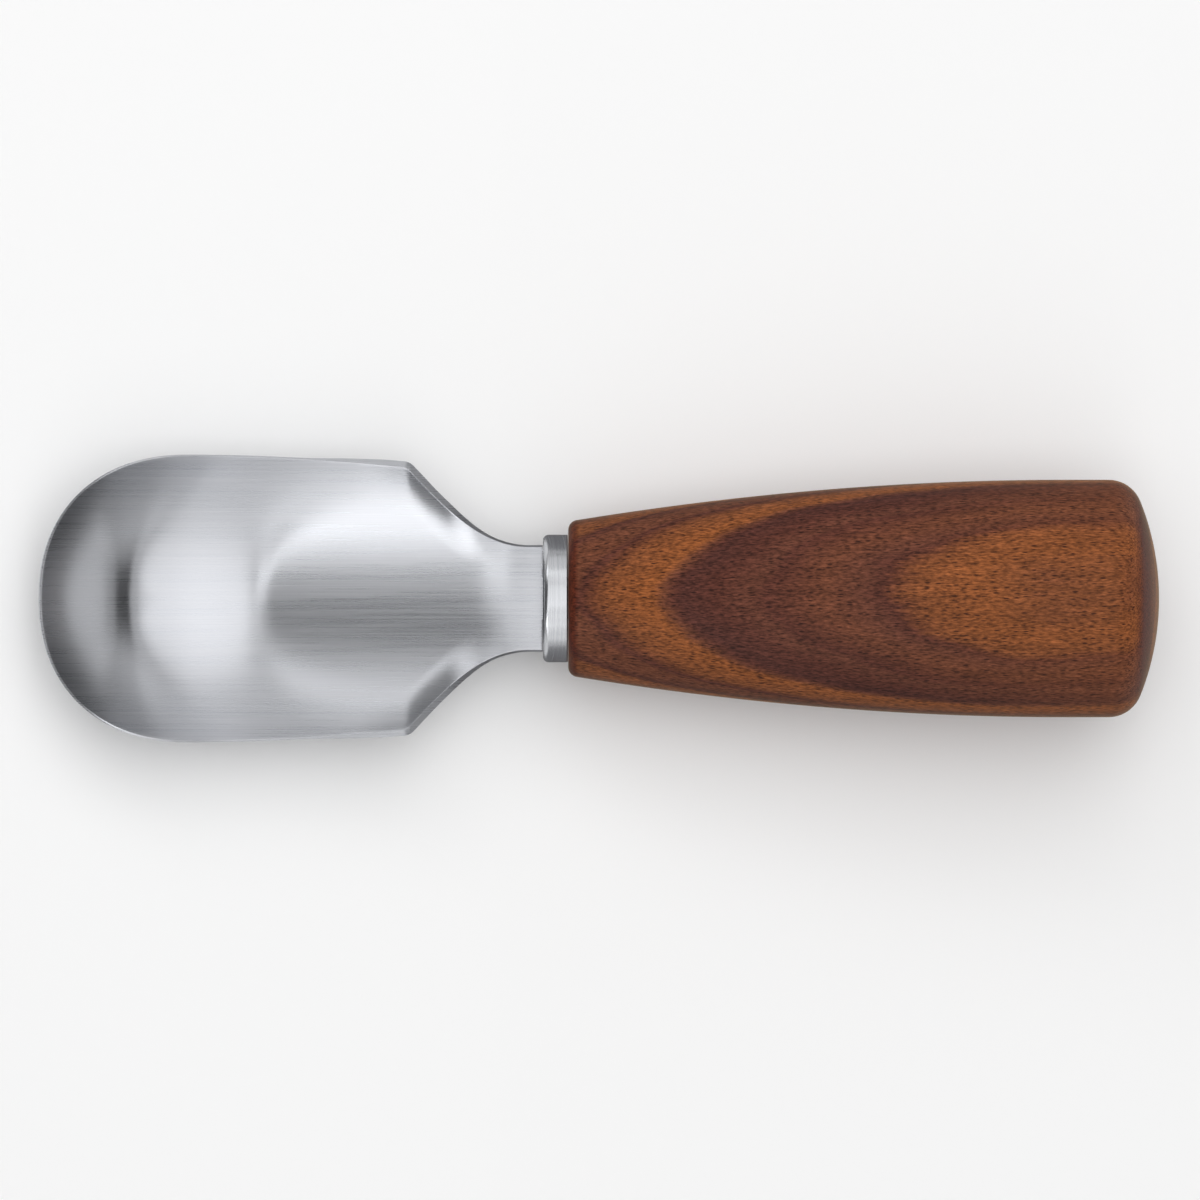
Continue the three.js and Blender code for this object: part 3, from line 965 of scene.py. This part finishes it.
# Softboxes: name, place, width, depth, radiance, whether matt surfaces see it
SOFTBOXES = (
    ("overhead strip, far half", (0.016, 0.85, 1.2), 0.27, 1.7, 1.36, True),
    ("overhead strip, near half", (0.016, -0.4, 1.2), 0.27, 0.8, 1.3, True),
    ("overhead strip, near end", (0.016, -1.25, 1.2), 0.27, 0.9, 0.95, True),
    ("overhead strip, dimmer edge", (0.211, 0, 1.2), 0.12, 3.4, 0.75, True),
    ("overhead strip, faint edge", (0.411, 0, 1.2), 0.28, 3.4, 0.28, True),
    ("overhead box", (-0.215, 0.1, 1.2), 0.19, 0.9, 0.8, True),
    ("near side softbox", (-0.637, -0.817, 0.781), 0.3, 0.7, 3.1, False),
    ("near side softbox, dimmer", (-0.34, -1.0, 0.6), 0.36, 0.55, 1.3, False),
    ("far side softbox", (-0.465, 0.9, 0.715), 0.56, 0.36, 1.8, True),
    ("neck softbox", (-0.35, -0.36, 1.022), 0.22, 0.3, 1.9, False),
    ("near filler softbox", (-0.2, -0.9, 1.05), 0.18, 0.7, 0.7, False),
    ("near low softbox", (-0.25, -1.2, 0.22), 0.7, 0.3, 0.55, False),
    ("near middle softbox", (0.08, -1.2, 0.54), 0.6, 0.5, 0.5, False),
    ("far low softbox", (-0.15, 1.15, 0.4), 1.3, 0.55, 0.18, False),
    ("far middle softbox", (0.12, 1.15, 0.42), 0.7, 0.55, 0.3, False),
    ("far filler softbox", (-0.16, 0.95, 1.05), 0.16, 0.7, 0.45, False),
    ("neck softbox, dimmer", (-0.351, -0.08, 1.024), 0.18, 0.34, 0.85, False),
    ("handle side softbox", (0.999, 0, 0.394), 2.0, 0.24, 0.5, False),
    ("handle side softbox, near", (0.687, -0.95, 0.579), 0.9, 0.6, 0.5, False),
    ("handle side softbox, far", (0.687, 0.95, 0.579), 0.9, 0.6, 0.5, False),
)
# Softboxes above this height hang level
LEVEL_FROM = 1

# Cards that only reflections see: colour, place, width along, width across, tilt in degrees
DARK_CARDS = (
    ("#141416", (0.58, 0, 0.717), 0.42, 1.1, 38),
    ("#565658", (-0.899, 0, 0.521), 0.85, 1.2, -60),
    ("#343436", (-0.51, 0.33, 0.98), 0.3, 0.55, -27),
    ("#848486", (0.05, 0, 0.001), 0.13, 0.5, 0),
)
FILL_AT = (0, 0.9, 2.2)
FILL_WIDTH = 3
FILL_RADIANCE = 1.06
FLOOR_WIDTH = 4
FLOOR_FADE = (0.5, 1.5)
MATT_ROUGHNESS = 0.9


class SCOOP_OT_studio(bpy.types.Operator):
    """White table, softboxes, dark cards and a camera square to the handle's axis"""

    bl_idname = "scoop.studio"
    bl_label = "Studio"

    def execute(self, context):
        studio = context.scene.scoop_studio
        self.lay_floor(studio)
        for card in DARK_CARDS:
            self.hang_card(*card)
        for name, place, width, depth, radiance, matt in SOFTBOXES:
            softbox = self.hang_softbox(name, Vector(place), width, depth, radiance)
            softbox.visible_diffuse = matt
        fill = self.hang_softbox("ceiling fill", Vector(FILL_AT), FILL_WIDTH, FILL_WIDTH, FILL_RADIANCE)
        fill.visible_glossy = False
        self.light_world(context.scene, studio)
        self.aim_camera(context.scene, studio)
        context.scene.view_settings.view_transform = "Standard"
        return {"FINISHED"}

    def lay_floor(self, studio):
        """Table top whose edge fades out into the white surroundings."""
        deselect_all()
        bpy.ops.mesh.primitive_plane_add(size=FLOOR_WIDTH, location=(0, 0, 0))
        floor = bpy.context.object
        floor.name = "table"
        material, tree = start_material("white table top, matt")
        spot = add_node(tree, PLACE).outputs["Object"]
        away = add_node(tree, VECTOR_MATH, (spot,), operation="LENGTH").outputs["Value"]
        fade = add_node(tree, RANGE, (away, *FLOOR_FADE, 1, 0))
        end_material(tree, {"Base Color": studio.table, "Roughness": MATT_ROUGHNESS, "Alpha": fade})
        floor.data.materials.append(material)

    def hang_card(self, colour, place, width, depth, tilt):
        """Card that only reflections see, to shade the steel as dark surroundings would."""
        deselect_all()
        bpy.ops.mesh.primitive_plane_add(size=1, location=place)
        card = bpy.context.object
        card.name = "dark card"
        card.scale = (width, depth, 1)
        card.rotation_euler = (0, math.radians(tilt), 0)
        material, tree = start_material("card, matt")
        end_material(tree, {"Base Color": linear(colour), "Roughness": MATT_ROUGHNESS})
        card.data.materials.append(material)
        card.visible_camera = False
        card.visible_diffuse = False
        card.visible_shadow = False

    def hang_softbox(self, name, place, width, depth, radiance):
        """Rectangular lamp aimed at the scoop, its power worked out from the radiance wanted."""
        lamp = bpy.data.lights.new(name, "AREA")
        lamp.shape = "RECTANGLE"
        lamp.size = width
        lamp.size_y = depth
        lamp.energy = radiance * math.pi * width * depth
        holder = bpy.data.objects.new(name, lamp)
        bpy.context.scene.collection.objects.link(holder)
        holder.location = place
        if place.z < LEVEL_FROM:
            holder.rotation_euler = (-place).to_track_quat("-Z", "Y").to_euler()
        holder.visible_camera = False
        return holder

    def light_world(self, scene, studio):
        """Even grey surroundings, white where the camera sees past the table."""
        world = bpy.data.worlds.new("studio")
        scene.world = world
        world.use_nodes = True
        tree = world.node_tree
        tree.nodes.clear()
        seen = add_node(tree, "ShaderNodeLightPath").outputs["Is Camera Ray"]
        strength = add_node(tree, RANGE, (seen, 0, 1, studio.ambient, 1))
        light = add_node(tree, "ShaderNodeBackground", {"Color": studio.surround, "Strength": strength})
        add_node(tree, "ShaderNodeOutputWorld", {"Surface": light})

    def aim_camera(self, scene, studio):
        """Camera square to the handle's axis, which fills the picture from side to side."""
        camera = bpy.data.cameras.new("camera")
        camera.lens = camera.sensor_width * studio.camera_distance / studio.frame_width
        holder = bpy.data.objects.new("camera", camera)
        scene.collection.objects.link(holder)
        place = (studio.look_along, studio.look_aside, studio.camera_distance)
        holder.matrix_world = rest_matrix() @ Matrix.Translation(place)
        scene.camera = holder


# Panel and registration

# Each operator, with its settings and the name that the scene keeps them by
PIECES = (
    (SCOOP_OT_blade, ScoopBlade, "scoop_blade"),
    (SCOOP_OT_ferrule, ScoopFerrule, "scoop_ferrule"),
    (SCOOP_OT_handle, ScoopHandle, "scoop_handle"),
    (SCOOP_OT_adhesive, ScoopAdhesive, "scoop_adhesive"),
    (SCOOP_OT_studio, ScoopStudio, "scoop_studio"),
)


class SCOOP_PT_panel(bpy.types.Panel):
    """Settings of the scoop, with a button for each piece"""

    bl_idname = "SCOOP_PT_panel"
    bl_label = "Serving scoop"
    bl_space_type = "VIEW_3D"
    bl_region_type = "UI"
    bl_category = "Scoop"

    def draw(self, context):
        for operator, group, kept_as in PIECES:
            self.layout.operator(operator.bl_idname)
            for name in group.__annotations__:
                self.layout.prop(getattr(context.scene, kept_as), name)


def register():
    for operator, group, kept_as in PIECES:
        bpy.utils.register_class(group)
        setattr(bpy.types.Scene, kept_as, bpy.props.PointerProperty(type=group))
        bpy.utils.register_class(operator)
    bpy.utils.register_class(SCOOP_PT_panel)


def unregister():
    bpy.utils.unregister_class(SCOOP_PT_panel)
    for operator, group, kept_as in reversed(PIECES):
        bpy.utils.unregister_class(operator)
        delattr(bpy.types.Scene, kept_as)
        bpy.utils.unregister_class(group)


def main():
    register()
    bpy.ops.scoop.blade()
    bpy.ops.scoop.ferrule()
    bpy.ops.scoop.handle()
    bpy.ops.scoop.adhesive()
    bpy.ops.scoop.studio()


if __name__ == "__main__":
    main()
